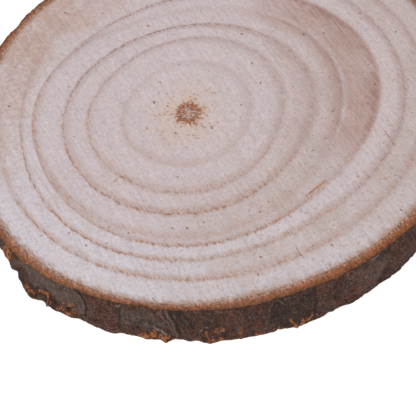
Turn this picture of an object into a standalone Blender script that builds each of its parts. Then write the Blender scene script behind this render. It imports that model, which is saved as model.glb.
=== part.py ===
# A slice sawn straight across a young softwood stem with its bark still on: the pale wood, and the
# bark that grew round it. +Z is the stem's axis, the sawn faces lie at z = 0 and z = THICKNESS, and the
# origin is under the middle of the slice. Sizes are metres, angles are degrees from +X.

import math

import bmesh
import bpy
from mathutils import Vector, noise

MM = 0.001

# Driving dimensions.
THICKNESS = 10 * MM
WOOD_RADIUS = 51.6 * MM  # mean distance from the pith to the edge of the wood
BARK_THICKNESS = 2.2 * MM  # mean, across the sawn face

# The stem leaned, so it grew wider on one side of its pith, and it is a little oval.
WIDER_BY = 7.0 * MM
WIDER_TOWARDS = 24.0
OVAL_BY = 3.45 * MM
OVAL_ALONG = 54.0
EDGE_WAVES = ((5, 0.22 * MM, 40.0), (9, 0.12 * MM, 110.0))  # waves round the edge, size, phase
BULGE = 1.2 * MM  # a broad bulge of the last growth ring
BULGE_AT = 142.0
BULGE_HALF_WIDTH = 22.0

# The bark is made as a piece of its own, which stands this far off the wood.
GROWTH_GAP = 0.3 * MM

# Bark thickness changes slowly round the stem: waves, size, phase.
BARK_WAVES = (
    (2, 0.10 * MM, -14.0),
    (3, 0.26 * MM, -40.0),
    (5, 0.16 * MM, 11.0),
    (7, 0.14 * MM, 25.0),
    (9, 0.11 * MM, 3.0),
)
LEAST_BARK = 0.6 * MM  # no relief cuts the bark thinner than this
BARK_BELLY = 0.4 * MM  # how far the bark bulges at mid-height
CHIPPED_EDGE = 0.45 * MM  # size of the broken corner along both sawn edges
CORNER_FOLLOWS = 0.5  # share of the outer relief that the edge of each sawn face follows

# The slice was cut a little askew, so the outside of the bark leans out towards its foot on one side.
FOOT_LEAN = 0.7 * MM
LEANS_TOWARDS = 335.0

# A piece of bark broke off along the foot: angle, half width, height and depth of the break.
BREAK_AT = 219.0
BREAK_HALF_WIDTH = 6 * MM
BREAK_HEIGHT = 7 * MM
BREAK_DEPTH = 1.5 * MM

# Bark plates with shallow cracks between them, and softer lumps on the plates.
PLATE_WIDTH = 13 * MM
PLATE_HEIGHT = 20 * MM
CRACK_DEPTH = 0.65 * MM
CRACK_SHARE = 0.13  # half width of a crack, as a share of a plate
LUMP_SIZE = 5.5 * MM
LUMP_HEIGHT = 0.4 * MM
PATTERN_SHIFT = Vector((3.7, 1.9, 5.3))  # picks one place in the noise patterns

# Where the saw came out, the bark tore: it flares outwards and its foot is ragged.
TORN_HEIGHT = 2.4 * MM
TORN_FLARE = 0.5 * MM
TORN_SIZE = 4.2 * MM
RAGGED_RISE = 0.85 * MM
RAGGED_SIZE = 3.3 * MM

# Knobs, which stand out of the bark: angle, height above the foot, radius, how far they stand out.
KNOBS = (
    (216.0, 2.6 * MM, 2.4 * MM, 0.7 * MM),
    (227.5, 2.2 * MM, 2.2 * MM, 0.6 * MM),
    (233.0, 1.4 * MM, 2.0 * MM, 0.7 * MM),
    (239.0, 1.8 * MM, 1.6 * MM, 0.5 * MM),
    (253.5, 1.2 * MM, 2.4 * MM, 0.6 * MM),
    (274.5, 1.0 * MM, 2.0 * MM, 0.6 * MM),
    (296.0, 1.2 * MM, 2.2 * MM, 0.5 * MM),
    (321.0, 6.4 * MM, 3.2 * MM, 0.4 * MM),
    (352.0, 2.0 * MM, 2.8 * MM, 0.6 * MM),
    (28.0, 5.0 * MM, 3.4 * MM, 0.5 * MM),
    (71.0, 1.6 * MM, 2.6 * MM, 0.7 * MM),
    (118.0, 4.4 * MM, 3.0 * MM, 0.5 * MM),
    (163.0, 1.8 * MM, 2.8 * MM, 0.7 * MM),
    (192.0, 5.6 * MM, 3.0 * MM, 0.5 * MM),
)

# Ridges that climb the bark on a slant: angle at mid-height, slant, half width, how far they stand out.
RIDGES = (
    (264.5, 3.0, 1.0 * MM, 0.75 * MM),
    (269.0, 4.0, 0.8 * MM, 0.55 * MM),
    (303.5, -1.0, 0.9 * MM, 0.5 * MM),
    (12.0, 2.5, 1.1 * MM, 0.6 * MM),
    (95.0, -3.0, 1.0 * MM, 0.7 * MM),
    (141.0, 2.0, 0.9 * MM, 0.6 * MM),
    (181.0, -2.0, 1.0 * MM, 0.6 * MM),
)

MIDDLE_OF_BARK = 0.5  # share of the bark's thickness where its sawn faces have a row of points
COLUMNS = 270  # steps round the slice
BARK_ROWS = 8  # steps up the outside of the bark

# Linear colours, roughness.
WOOD_FINISH = ((0.56, 0.48, 0.46), 0.75)
BARK_FINISH = ((0.085, 0.046, 0.034), 0.9)


def waves(angle, parts):
    return sum(size * math.cos(math.radians(count * (angle - phase))) for count, size, phase in parts)


def angle_between(a, b):
    return (a - b + 180) % 360 - 180


def hump(distance, half_width):
    """1 in the middle, falling smoothly to nothing."""
    return math.exp(-((distance / half_width) ** 2))


def wood_edge(angle):
    """Distance from the pith to the edge of the wood."""
    lean = ((1, WIDER_BY, WIDER_TOWARDS), (2, OVAL_BY, OVAL_ALONG))
    bulge = BULGE * hump(angle_between(angle, BULGE_AT), BULGE_HALF_WIDTH)
    return WOOD_RADIUS + waves(angle, lean) + waves(angle, EDGE_WAVES) + bulge


def bark_thickness(angle):
    return BARK_THICKNESS + waves(angle, BARK_WAVES)


def foot_form(angle, height):
    """How far the plain wall of the bark leans out, less what broke off along the foot."""
    lean = FOOT_LEAN * (1 - height / THICKNESS) * math.cos(math.radians(angle - LEANS_TOWARDS))
    along = math.radians(angle_between(angle, BREAK_AT)) * wood_edge(angle)
    broken = BREAK_DEPTH * hump(along, BREAK_HALF_WIDTH) * max(0.0, 1 - height / BREAK_HEIGHT)
    return lean - broken


def on_stem(angle, height):
    """A point on the bark, for patterns that close on themselves round the stem."""
    turn = math.radians(angle)
    radius = wood_edge(angle)
    return Vector((radius * math.cos(turn), radius * math.sin(turn), height))


def plates(angle, height):
    """Smooth plates at 0, with the cracks between them below it."""
    point = on_stem(angle, height)
    cell = Vector((point.x / PLATE_WIDTH, point.y / PLATE_WIDTH, point.z / PLATE_HEIGHT))
    nearest = noise.voronoi(cell + PATTERN_SHIFT)[0]
    return -CRACK_DEPTH * hump(nearest[1] - nearest[0], CRACK_SHARE)


def lumps(angle, height):
    return LUMP_HEIGHT * noise.noise(on_stem(angle, height) / LUMP_SIZE + PATTERN_SHIFT)


def torn_foot(angle, height):
    """The outward flare of the torn bark, which fades out above the foot."""
    fade = max(0.0, 1 - height / TORN_HEIGHT)
    return TORN_FLARE * fade * noise.noise(on_stem(angle, 0) / TORN_SIZE + PATTERN_SHIFT)


def knobs(angle, height):
    total = 0
    for knob_angle, knob_height, radius, proud in KNOBS:
        along = math.radians(angle_between(angle, knob_angle)) * wood_edge(angle)
        total += proud * hump(math.hypot(along, height - knob_height), radius)
    return total


def ridges(angle, height):
    total = 0
    for ridge_angle, slant, half_width, proud in RIDGES:
        centre = ridge_angle + slant * (0.5 - height / THICKNESS)
        along = math.radians(angle_between(angle, centre)) * wood_edge(angle)
        total += proud * hump(along, half_width)
    return total


def bark_relief(angle, height):
    """How far the outside of the bark stands off its plain wall."""
    belly = BARK_BELLY * (1 - (2 * height / THICKNESS - 1) ** 2)
    rough = plates(angle, height) + lumps(angle, height) + torn_foot(angle, height)
    return belly + rough + knobs(angle, height) + ridges(angle, height)


def ragged_rise(angle):
    """How far the torn foot of the bark ends above the lower face."""
    return RAGGED_RISE * max(0.0, noise.noise(on_stem(angle, 0) / RAGGED_SIZE + PATTERN_SHIFT * 2))


def material(name, finish):
    colour, roughness = finish
    made = bpy.data.materials.new(name)
    made.use_nodes = True
    shader = made.node_tree.nodes["Principled BSDF"]
    shader.inputs["Base Color"].default_value = (*colour, 1)
    shader.inputs["Roughness"].default_value = roughness
    shader.inputs["Metallic"].default_value = 0
    made.diffuse_color = (*colour, 1)
    return made


def object_from(shape, name, finish, pith):
    bmesh.ops.recalc_face_normals(shape, faces=shape.faces)
    mesh = bpy.data.meshes.new(name)
    shape.to_mesh(mesh)
    shape.free()
    mesh.materials.append(material(name, finish))
    made = bpy.data.objects.new(name, mesh)
    bpy.context.scene.collection.objects.link(made)
    made.parent = pith
    return made


def wood_disc():
    """The wood: its outline laid flat, then drawn up to the slice's thickness."""
    shape = bmesh.new()
    bmesh.ops.create_circle(shape, cap_ends=True, segments=COLUMNS, radius=WOOD_RADIUS)
    for vertex in shape.verts:
        angle = math.degrees(math.atan2(vertex.co.y, vertex.co.x))
        vertex.co *= wood_edge(angle) / vertex.co.length
    drawn = bmesh.ops.extrude_face_region(shape, geom=shape.faces[:])["geom"]
    top = [part for part in drawn if isinstance(part, bmesh.types.BMVert)]
    bmesh.ops.translate(shape, verts=top, vec=(0, 0, THICKNESS))
    return shape


def bark_section():
    """The bark cut through, from its inner foot round its outside: (share of the bark, height) pairs.

    Share 0 is the inner wall and 1 the outer one."""
    corner = CHIPPED_EDGE / BARK_THICKNESS
    reach = THICKNESS - 2 * CHIPPED_EDGE
    outside = [(1, CHIPPED_EDGE + reach * row / BARK_ROWS) for row in range(BARK_ROWS + 1)]
    foot = [(0, 0), (MIDDLE_OF_BARK, 0), (1 - corner, 0)]
    crown = [(1 - corner, THICKNESS), (MIDDLE_OF_BARK, THICKNESS), (0, THICKNESS)]
    return foot + outside + crown


def place_on_bark(share, height, angle):
    """The point of the bark at this share of its thickness, at this height and angle."""
    follows = 1 if share == 1 else CORNER_FOLLOWS
    wall = bark_thickness(angle) - GROWTH_GAP + foot_form(angle, height)
    wall = max(LEAST_BARK, wall + follows * bark_relief(angle, height))
    radius = wood_edge(angle) + GROWTH_GAP + share * wall
    if share == 1:
        height += ragged_rise(angle) * max(0.0, 1 - height / TORN_HEIGHT)
    turn = math.radians(angle)
    return Vector((radius * math.cos(turn), radius * math.sin(turn), height))


def bark_ring():
    """The bark: its section spun round the pith, then each point moved out to its place."""
    shape = bmesh.new()
    places = [(WOOD_RADIUS + share * BARK_THICKNESS, 0, height) for share, height in bark_section()]
    points = [shape.verts.new(place) for place in places]
    edges = [shape.edges.new(pair) for pair in zip(points, points[1:] + points[:1])]
    bmesh.ops.spin(
        shape,
        geom=points + edges,
        cent=(0, 0, 0),
        axis=(0, 0, 1),
        angle=math.tau,
        steps=COLUMNS,
        use_merge=True,
    )
    for vertex in shape.verts:
        angle = math.degrees(math.atan2(vertex.co.y, vertex.co.x))
        share = (math.hypot(vertex.co.x, vertex.co.y) - WOOD_RADIUS) / BARK_THICKNESS
        vertex.co = place_on_bark(round(share, 3), vertex.co.z, angle)
    return shape


def middle_of(mesh):
    """The middle of the mesh's extent in X and Y."""
    xs = [vertex.co.x for vertex in mesh.vertices]
    ys = [vertex.co.y for vertex in mesh.vertices]
    return (min(xs) + max(xs)) / 2, (min(ys) + max(ys)) / 2


def clear_scene():
    for old in list(bpy.data.objects):
        bpy.data.objects.remove(old)


def build():
    clear_scene()
    pith = bpy.data.objects.new("pith", None)
    bpy.context.scene.collection.objects.link(pith)
    object_from(wood_disc(), "wood_disc", WOOD_FINISH, pith)
    bark = object_from(bark_ring(), "bark_ring", BARK_FINISH, pith)
    bark.data.shade_smooth()
    bark.data.set_sharp_from_angle(angle=math.radians(35))
    across, along = middle_of(bark.data)
    pith.location = (-across, -along, 0)


build()
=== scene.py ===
# a thin slice of a young softwood stem: the sawn wood, and the bark that grew round it
# lengths are in millimetres until a shape is placed, and angles in degrees from +X round the pith
import math
import random

import bpy
import numpy as np
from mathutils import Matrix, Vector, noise


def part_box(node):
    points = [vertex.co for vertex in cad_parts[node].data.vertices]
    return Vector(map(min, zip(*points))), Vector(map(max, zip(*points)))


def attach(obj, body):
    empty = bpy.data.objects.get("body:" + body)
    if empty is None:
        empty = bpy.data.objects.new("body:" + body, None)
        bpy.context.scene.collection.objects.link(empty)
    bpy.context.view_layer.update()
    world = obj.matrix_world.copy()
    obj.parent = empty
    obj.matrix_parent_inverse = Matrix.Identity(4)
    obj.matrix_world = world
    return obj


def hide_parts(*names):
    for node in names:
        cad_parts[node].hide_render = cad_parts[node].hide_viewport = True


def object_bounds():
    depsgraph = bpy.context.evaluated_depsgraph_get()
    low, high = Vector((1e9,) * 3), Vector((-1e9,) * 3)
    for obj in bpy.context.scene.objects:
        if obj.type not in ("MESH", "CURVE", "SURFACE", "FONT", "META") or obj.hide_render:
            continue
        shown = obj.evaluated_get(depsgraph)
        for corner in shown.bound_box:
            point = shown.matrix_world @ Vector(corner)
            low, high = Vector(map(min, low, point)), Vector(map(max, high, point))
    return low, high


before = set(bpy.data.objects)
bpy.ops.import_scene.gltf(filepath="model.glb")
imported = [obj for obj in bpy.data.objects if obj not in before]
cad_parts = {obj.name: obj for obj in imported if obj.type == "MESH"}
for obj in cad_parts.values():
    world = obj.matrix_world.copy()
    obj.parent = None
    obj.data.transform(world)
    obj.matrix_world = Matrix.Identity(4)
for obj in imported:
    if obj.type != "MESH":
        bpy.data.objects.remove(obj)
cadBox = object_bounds()
mm = 0.001
tiny = 1e-6  # as good as nothing, in metres
boxInset = np.array([0.02, 0.02, 0]) * mm  # the pieces stay this far inside the solids' box
print("frame loaded")

# the stem: the same outline and the same bark as the solids have
stem = dict(
    thickness=10.0,
    woodRadius=51.6,
    lean=7.0, leanTowards=24.0,
    oval=3.45, ovalAlong=54.0,
    edgeWaves=((5, 0.22, 40.0), (9, 0.12, 110.0)),
    bulge=1.2, bulgeAt=142.0, bulgeHalfWidth=22.0,
    barkThickness=2.2, belly=0.4,
    barkWaves=((2, 0.10, -14.0), (3, 0.26, -40.0), (5, 0.16, 11.0), (7, 0.14, 25.0), (9, 0.11, 3.0)),
    footLean=0.7, footLeansTowards=335.0,
    footSwell=0.8, footSwellsAt=308.0, swellHalfWidth=30.0,
    breakAt=219.0, breakHalfWidth=6.0, breakHeight=7.0, breakDepth=1.5,
    outlineSteps=270,
)


def waves(angle, parts):
    return sum(size * np.cos(np.radians(count * (angle - phase))) for count, size, phase in parts)


def angleApart(a, b):
    return (a - b + 180) % 360 - 180


def hump(distance, halfWidth):
    return np.exp(-((distance / halfWidth) ** 2))


def smoothStep(low, high, value):
    # 0 up to low and 1 from high on; the other way round where low is above high
    share = np.clip((value - low) / (high - low), 0, 1)
    return share * share * (3 - 2 * share)


def between(value, start, full, fading, gone):
    return smoothStep(start, full, value) * smoothStep(gone, fading, value)


def facing(angle, way, none, full):
    # 1 on the side that lies that way; none and full are cosines
    return smoothStep(none, full, np.cos(np.radians(angle - way)))


def taper(height, top):
    # 1 at the foot, and 0 from top upwards
    return np.maximum(0, 1 - height / top)


def alongEdge(angle, middle, edge):
    # how far round an edge of that radius an angle lies from the middle one
    return np.radians(angleApart(angle, middle)) * edge


def edgeForm(angle):
    bulge = stem["bulge"] * hump(angleApart(angle, stem["bulgeAt"]), stem["bulgeHalfWidth"])
    return waves(angle, stem["edgeWaves"]) + bulge


def woodEdge(angle):
    leaning = ((1, stem["lean"], stem["leanTowards"]), (2, stem["oval"], stem["ovalAlong"]))
    return stem["woodRadius"] + waves(angle, leaning) + edgeForm(angle)


def barkDepth(angle, height):
    lean = stem["footLean"] * np.cos(np.radians(angle - stem["footLeansTowards"]))
    swell = stem["footSwell"] * hump(angleApart(angle, stem["footSwellsAt"]), stem["swellHalfWidth"])
    outwards = (lean + swell) * (1 - height / stem["thickness"])
    along = alongEdge(angle, stem["breakAt"], woodEdge(angle))
    broken = stem["breakDepth"] * hump(along, stem["breakHalfWidth"]) * taper(height, stem["breakHeight"])
    return stem["barkThickness"] + waves(angle, stem["barkWaves"]) + outwards - broken


# the pith's place, found from the wood solid's box and the outline's own
outlineAngles = np.arange(stem["outlineSteps"]) * 360 / stem["outlineSteps"]
outlineX = woodEdge(outlineAngles) * np.cos(np.radians(outlineAngles))
outlineY = woodEdge(outlineAngles) * np.sin(np.radians(outlineAngles))
woodLow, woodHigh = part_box("wood_disc")
pithX = (woodLow.x + woodHigh.x) / 2 - (outlineX.min() + outlineX.max()) / 2 * mm
pithY = (woodLow.y + woodHigh.y) / 2 - (outlineY.min() + outlineY.max()) / 2 * mm
print("pith at", round(pithX / mm, 2), round(pithY / mm, 2), "mm")


# noise over many points at once, for relief and for slow changes of colour
def noiseAt(points, size, shift=0.0):
    return np.array([noise.noise(p) for p in (points / size + shift).tolist()])


def roughAt(points, size, octaves, shift=0.0):
    return np.array([noise.fractal(p, 1.0, 2.0, octaves) for p in (points / size + shift).tolist()])


def cellsAt(points, size, shift=0.0):
    # distance to the nearest and the second cell centre, and a number of its own for each cell
    near, second, own = [], [], []
    for p in (points / size + shift).tolist():
        distances, centres = noise.voronoi(p)
        near.append(distances[0])
        second.append(distances[1])
        own.append(noise.cell(centres[0] * 7.31))
    return np.array(near), np.array(second), np.array(own)


# modelling helpers
def deselectAll():
    if bpy.context.object and bpy.context.object.mode != "OBJECT":
        bpy.ops.object.mode_set(mode="OBJECT")
    bpy.ops.object.select_all(action="DESELECT")


def spunSection(name, inner, outer, height, look):
    # a plane stood up beside the pith, its edges cut finer, spun once round the pith and divided
    deselectAll()
    bpy.ops.mesh.primitive_plane_add(size=1, location=(0, 0, 0))
    piece = bpy.context.object
    piece.name = name
    bpy.ops.object.mode_set(mode="EDIT")
    bpy.ops.transform.resize(value=((outer - inner) * mm, height * mm, 1))
    bpy.ops.transform.rotate(value=-math.pi / 2, orient_axis="X", center_override=(0, 0, 0))
    bpy.ops.transform.translate(value=(pithX + (inner + outer) / 2 * mm, pithY, height / 2 * mm))
    bpy.ops.mesh.delete(type="ONLY_FACE")
    middle = (inner + outer) / 2
    sides = dict(
        outside=(outer, height / 2), inside=(inner, height / 2), top=(middle, height), under=(middle, 0),
    )
    for side, (across, up) in sides.items():
        selectEdgeAt(piece, pithX + across * mm, up * mm)
        if look["cuts"][side] is None:
            bpy.ops.mesh.delete(type="EDGE")
        elif look["cuts"][side]:
            bpy.ops.mesh.subdivide(number_cuts=look["cuts"][side])
    bpy.ops.mesh.select_all(action="SELECT")
    bpy.ops.mesh.spin(
        steps=look["columns"], angle=math.tau, use_auto_merge=True,
        center=(pithX, pithY, 0), axis=(0, 0, 1),
    )
    bpy.ops.mesh.select_all(action="SELECT")
    bpy.ops.mesh.remove_doubles(threshold=tiny)
    bpy.ops.mesh.subdivide(number_cuts=look["finer"] - 1)
    bpy.ops.mesh.normals_make_consistent(inside=False)
    bpy.ops.object.mode_set(mode="OBJECT")
    bpy.ops.object.shade_smooth()
    return piece


def selectEdgeAt(piece, x, z):
    bpy.ops.mesh.select_all(action="DESELECT")
    bpy.ops.object.mode_set(mode="OBJECT")
    points = piece.data.vertices
    for edge in piece.data.edges:
        middle = (points[edge.vertices[0]].co + points[edge.vertices[1]].co) / 2
        edge.select = bool(abs(middle.x - x) < tiny and abs(middle.z - z) < tiny)
    bpy.ops.object.mode_set(mode="EDIT")
    bpy.ops.mesh.select_mode(type="EDGE")


def pointsOf(piece):
    flat = np.empty(len(piece.data.vertices) * 3, np.float32)
    piece.data.vertices.foreach_get("co", flat)
    return flat.reshape(-1, 3).astype(float)


def polarOf(piece):
    # distance from the pith, angle and height of each point, in mm and degrees
    points = pointsOf(piece)
    x, y = (points[:, 0] - pithX) / mm, (points[:, 1] - pithY) / mm
    return np.hypot(x, y), np.degrees(np.arctan2(y, x)), points[:, 2] / mm


def putPoints(piece, radius, angle, height):
    turn = np.radians(angle)
    x, y = pithX + radius * np.cos(turn) * mm, pithY + radius * np.sin(turn) * mm
    low, high = np.array(cadBox[0]), np.array(cadBox[1])
    places = np.clip(np.stack([x, y, height * mm], 1), low + boxInset, high - boxInset)
    piece.data.vertices.foreach_set("co", places.astype(np.float32).ravel())
    piece.data.update()


def keepValues(piece, name, values):
    kept = piece.data.attributes.new(name, "FLOAT", "POINT")
    kept.data.foreach_set("value", np.asarray(values, np.float32))


def keepVectors(piece, name, vectors):
    kept = piece.data.attributes.new(name, "FLOAT_VECTOR", "POINT")
    kept.data.foreach_set("vector", np.asarray(vectors, np.float32).ravel())


def onStem(angle, height):
    turn = np.radians(angle)
    edge = woodEdge(angle)
    return np.stack([edge * np.cos(turn), edge * np.sin(turn), height + 0 * angle], 1)


# shader maths: a wire is one socket, and arithmetic on wires adds Math nodes
class Wire:
    def __init__(self, finish, socket):
        self.finish, self.socket = finish, socket

    def math(self, operation, *values):
        return self.finish.node("ShaderNodeMath", dict(operation=operation), dict(enumerate(values)))

    def __add__(self, other):
        return self.math("ADD", self, other)

    def __sub__(self, other):
        return self.math("SUBTRACT", self, other)

    def __mul__(self, other):
        return self.math("MULTIPLY", self, other)

    def __truediv__(self, other):
        return self.math("DIVIDE", self, other)

    def __pow__(self, other):
        return self.math("POWER", self, other)

    def __rpow__(self, other):
        return self.math("POWER", other, self)

    def __rsub__(self, other):
        return self.math("SUBTRACT", other, self)

    __radd__ = __add__
    __rmul__ = __mul__

    def step(self, low, high):
        # 0 below low, 1 above high, smooth between; the other way round where low is above high
        if low > high:
            return 1 - self.step(high, low)
        return self.finish.node(
            "ShaderNodeMapRange", dict(interpolation_type="SMOOTHSTEP"),
            {"Value": self, "From Min": low, "From Max": high}, "Result",
        )

    def between(self, start, full, fading, gone):
        return self.step(start, full) * self.step(gone, fading)

    def limit(self):
        return self.finish.node("ShaderNodeMath", dict(operation="ADD", use_clamp=True), {0: self, 1: 0.0})


class Finish:
    def __init__(self, name, roughness):
        self.material = bpy.data.materials.new(name)
        self.material.use_nodes = True
        self.tree = self.material.node_tree
        self.shader = self.tree.nodes["Principled BSDF"]
        self.shader.inputs["Roughness"].default_value = roughness
        self.shader.inputs["Specular IOR Level"].default_value = 0.25

    def node(self, kind, settings, values, out=0):
        made = self.tree.nodes.new(kind)
        for key, value in settings.items():
            if key == "stops":
                self.setStops(made.color_ramp, value)
            else:
                setattr(made, key, value)
        for key, value in values.items():
            self.plug(made.inputs[key], value)
        return Wire(self, made.outputs[out])

    def plug(self, socket, value):
        if isinstance(value, Wire):
            self.tree.links.new(value.socket, socket)
        elif isinstance(value, (tuple, list)) and socket.type == "RGBA":
            socket.default_value = (*value[:3], 1)
        else:
            socket.default_value = value

    def setStops(self, ramp, stops):
        while len(ramp.elements) < len(stops):
            ramp.elements.new(1.0)
        for element, (place, colour) in zip(ramp.elements, stops):
            element.position = place
            element.color = (*colour, 1)

    def value(self, name):
        return self.node("ShaderNodeAttribute", dict(attribute_name=name), {}, "Fac")

    def vector(self, name):
        return self.node("ShaderNodeAttribute", dict(attribute_name=name), {}, "Vector")

    def place(self, turn=0.0, stretch=(1, 1, 1), shift=(0, 0, 0)):
        # object coordinates, turned about Z in degrees and then stretched
        source = self.node("ShaderNodeTexCoord", {}, {}, "Object")
        turned = self.node(
            "ShaderNodeMapping", dict(vector_type="POINT"),
            {"Vector": source, "Rotation": (0, 0, math.radians(turn)), "Location": shift},
        )
        return self.node("ShaderNodeVectorMath", dict(operation="MULTIPLY"), {0: turned, 1: stretch})

    def noise(self, place, scale, detail, roughness, out="Fac"):
        values = {"Vector": place, "Scale": scale, "Detail": detail, "Roughness": roughness}
        return self.node("ShaderNodeTexNoise", {}, values, out)

    def patches(self, size, detail, roughness, stretch=(1, 1, 1), shift=(0, 0, 0)):
        # patches of a size in mm, as a value about zero
        return self.noise(self.place(0, stretch, shift), 1 / mm / size, detail, roughness) - 0.5

    def strokes(self, way, width, length, detail=2.0, roughness=0.6, shift=(0, 0, 0)):
        # thin marks that run that way, their width and length in mm, as a value about zero
        stretch = (1 / width, 1 / length, 1 / 3)
        return self.noise(self.place(90 - way, stretch, shift), 1 / mm, detail, roughness) - 0.5

    def cells(self, place, size, feature="F1"):
        values = {"Vector": place, "Scale": 1 / mm / size}
        return self.node("ShaderNodeTexVoronoi", dict(feature=feature), values, "Distance")

    def mix(self, factor, low, high, blend="MIX"):
        settings = dict(data_type="RGBA", blend_type=blend, clamp_factor=True)
        return self.node("ShaderNodeMix", settings, {0: factor, 6: low, 7: high}, 2)

    def ramp(self, factor, stops):
        return self.node("ShaderNodeValToRGB", dict(stops=stops), {0: factor})

    def scaled(self, colour, factor):
        return self.node("ShaderNodeVectorMath", dict(operation="SCALE"), {0: colour, "Scale": factor})

    def bump(self, height, depth):
        # depth is the size of a height of 1, in mm
        values = {"Height": height, "Distance": depth * mm, "Strength": 1.0}
        return self.node("ShaderNodeBump", {}, values, "Normal")

    def show(self, **sockets):
        for name, value in sockets.items():
            self.plug(self.shader.inputs[name.replace("_", " ")], value)
        return self.material


# growth rings, from the pith out: mean radius, then how far and which way each harmonic pulls it
ringShapes = (
    (0.0, 0.0, 0, 0.0, 0, 0.0, 0),
    (14.5, 0.4, 134, 1.2, 68, 0.3, -51),
    (21.8, 0.5, 116, 1.7, 64, 0.4, -59),
    (27.4, 0.3, 24, 1.9, 54, 0.4, 38),
    (32.8, 0.5, 15, 2.0, 49, 1.0, 40),
    (36.7, 4.5, 24, 3.3, 48, 1.0, 35),
    (42.2, 6.3, 43, 2.9, 61, 0.6, 11),
    (46.9, 6.6, 36, 3.0, 58, 0.2, 20),
    (51.6, 7.0, 24, 3.45, 54, 0.0, 0),
)
# how dark each ring's latewood is: its mean, and how much more on one side and on two
ringStrength = (
    (0.0, 0.0, 0, 0.0, 0),
    (0.31, 0.07, 244, 0.05, 26),
    (0.44, 0.03, 243, 0.04, 103),
    (0.51, 0.04, 205, 0.10, 96),
    (0.26, 0.15, 228, 0.04, 8),
    (0.44, 0.12, 248, 0.25, 98),
    (0.41, 0.18, 284, 0.11, 30),
    (0.37, 0.11, 300, 0.06, 65),
    (0.0, 0.0, 0, 0.0, 0),
)


def ringOutline(shape, angle):
    turn = np.radians(angle)
    radius = np.full(len(angle), float(shape[0]))
    for n in (1, 2, 3):
        radius += shape[2 * n - 1] * np.cos(n * (turn - math.radians(shape[2 * n])))
    return radius


def ringPlace(mean, angle):
    # where a ring of that mean radius runs at that angle; no ring crosses the next
    leastWidth = 0.15  # share of its mean width that each ring keeps everywhere
    radius = np.zeros(len(mean))
    inner = np.zeros(len(mean))
    for near, far in zip(ringShapes, ringShapes[1:]):
        width = far[0] - near[0]
        outer = np.maximum(ringOutline(far, angle), inner + leastWidth * width)
        radius += np.clip((mean - near[0]) / width, 0, 1) * (outer - inner)
        inner = outer
    atEdge = smoothStep(ringShapes[-2][0], ringShapes[-1][0], mean)
    return radius + atEdge * edgeForm(angle)


def ringGap(mean, angle):
    # how far neighbouring radii run apart at that angle, against their mean distance
    reach = 0.3
    return (ringPlace(mean + reach, angle) - ringPlace(mean - reach, angle)) / (2 * reach)


def sawPull(mean, angle, sawWay):
    # how fast the ring coordinate grows along the saw's strokes
    leastRadius, leastGap = 0.3, 0.2
    radius = np.maximum(ringPlace(mean, angle), leastRadius)
    around = (ringPlace(mean, angle + 0.5) - ringPlace(mean, angle - 0.5)) / math.radians(1)
    apart = np.radians(angle - sawWay)
    along = np.cos(apart) + np.sin(apart) * around / radius
    return along / np.maximum(ringGap(mean, angle), leastGap)


# the sawn wood
sawnWood = dict(
    columns=120, finer=4,
    cuts=dict(top=28, under=13, outside=0, inside=None),
    sawWay=-62.0,      # the saw's strokes run along this angle
    strokeReach=1.9,   # how far the strokes drag the rings' fibres
    sawDepth=0.025, sawPitch=2.2,
    pithRadius=2.7, pithDepth=0.2,
    faceBelow=0.06, leastBelow=0.005,  # how far the sawn faces lie inside the solid's, and the least
    # how dark the growth is along the way out: mean radius, darkness
    growth=(
        (12.0, 0), (14.3, 1.0), (15.4, 0), (19.2, 0), (20.8, 0.75), (21.6, 1.0), (22.6, 0), (24.9, 0),
        (26.1, 0.75), (27.0, 1.0), (27.9, 0), (30.8, 0), (32.2, 0.8), (32.9, 1.0), (33.8, 0.1),
        (34.6, 0.08), (35.6, 0.75), (36.4, 1.0), (37.2, 0), (40.0, 0), (41.2, 0.75), (42.0, 1.0),
        (42.8, 0), (45.0, 0), (46.0, 0.8), (46.8, 1.0), (47.6, 0),
    ),
    # thin dark lines on it: mean radius, darkness
    lines=(
        (21.6, 0.6), (25.9, 0.45), (27.0, 0.9), (32.8, 0.6), (36.3, 0.6), (40.9, 0.3), (42.0, 0.9),
        (46.7, 0.8),
    ),
    lineWidth=0.24,
    # sides of the face: the way each lies, and the cosines at which it starts and is full
    sides=dict(
        dragged=(272, -0.2, 0.6), orange=(250, -0.2, 0.6), thin=(168, -0.1, 0.6), white=(232, -0.45, 0.5),
        dusk=(-20, -0.1, 0.8), crescent=(24, 0.62, 0.9), innerCrescent=(8, 0.6, 0.92),
    ),
    # tones that start at the first mean radius and are full at the second
    whiteOutwards=(22, 50), duskOutwards=(13, 30), crescentOutwards=(28.5, 32.5), stainOutwards=(34, 45),
    stainAt=150, stainHalfWidth=46,
    # bands: mean radius where each starts, is full, fades and is gone
    pithRing=(1.55, 2.0, 2.5, 3.1), innerCrescent=(22.8, 24.0, 27.6, 28.5),
    mergedRings=(32.3, 33.6, 35.8, 37.0), paleBand=(36.4, 37.4, 39.5, 42.5),
    darkSeam=(31.7, 32.4, 32.5, 32.9), paleSeam=(32.5, 32.8, 33.0, 33.4),
    colours=dict(
        # whiter and dusky are partly the wood's own tone and partly painted light and shade on their sides
        # of the face
        wood=(0.56, 0.473, 0.49), whiter=(0.588, 0.546, 0.592), dusky=(0.475, 0.387, 0.36),
        beige=(0.54, 0.44, 0.405), tan=(0.50, 0.38, 0.33), bleached=(0.60, 0.56, 0.59),
        stain=(0.485, 0.347, 0.3), pithHalo=(0.575, 0.44, 0.36),
        ringSide=(0.40, 0.28, 0.26), orangeRingSide=(0.44, 0.295, 0.245),
        ringCore=(0.28, 0.18, 0.165), orangeRingCore=(0.31, 0.165, 0.115),
        crescent=(1.0, 0.945, 0.905), seam=(0.53, 0.455, 0.465),
        pithEdge=(0.44, 0.22, 0.12), darkHeart=(0.29, 0.125, 0.07), greyHeart=(0.47, 0.365, 0.345),
        darkPith=(0.17, 0.04, 0.01), pith=(0.37, 0.14, 0.05), freckle=(0.40, 0.215, 0.14),
        rim=(0.39, 0.245, 0.185), hairs=(0.21, 0.14, 0.115),
    ),
)


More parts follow.
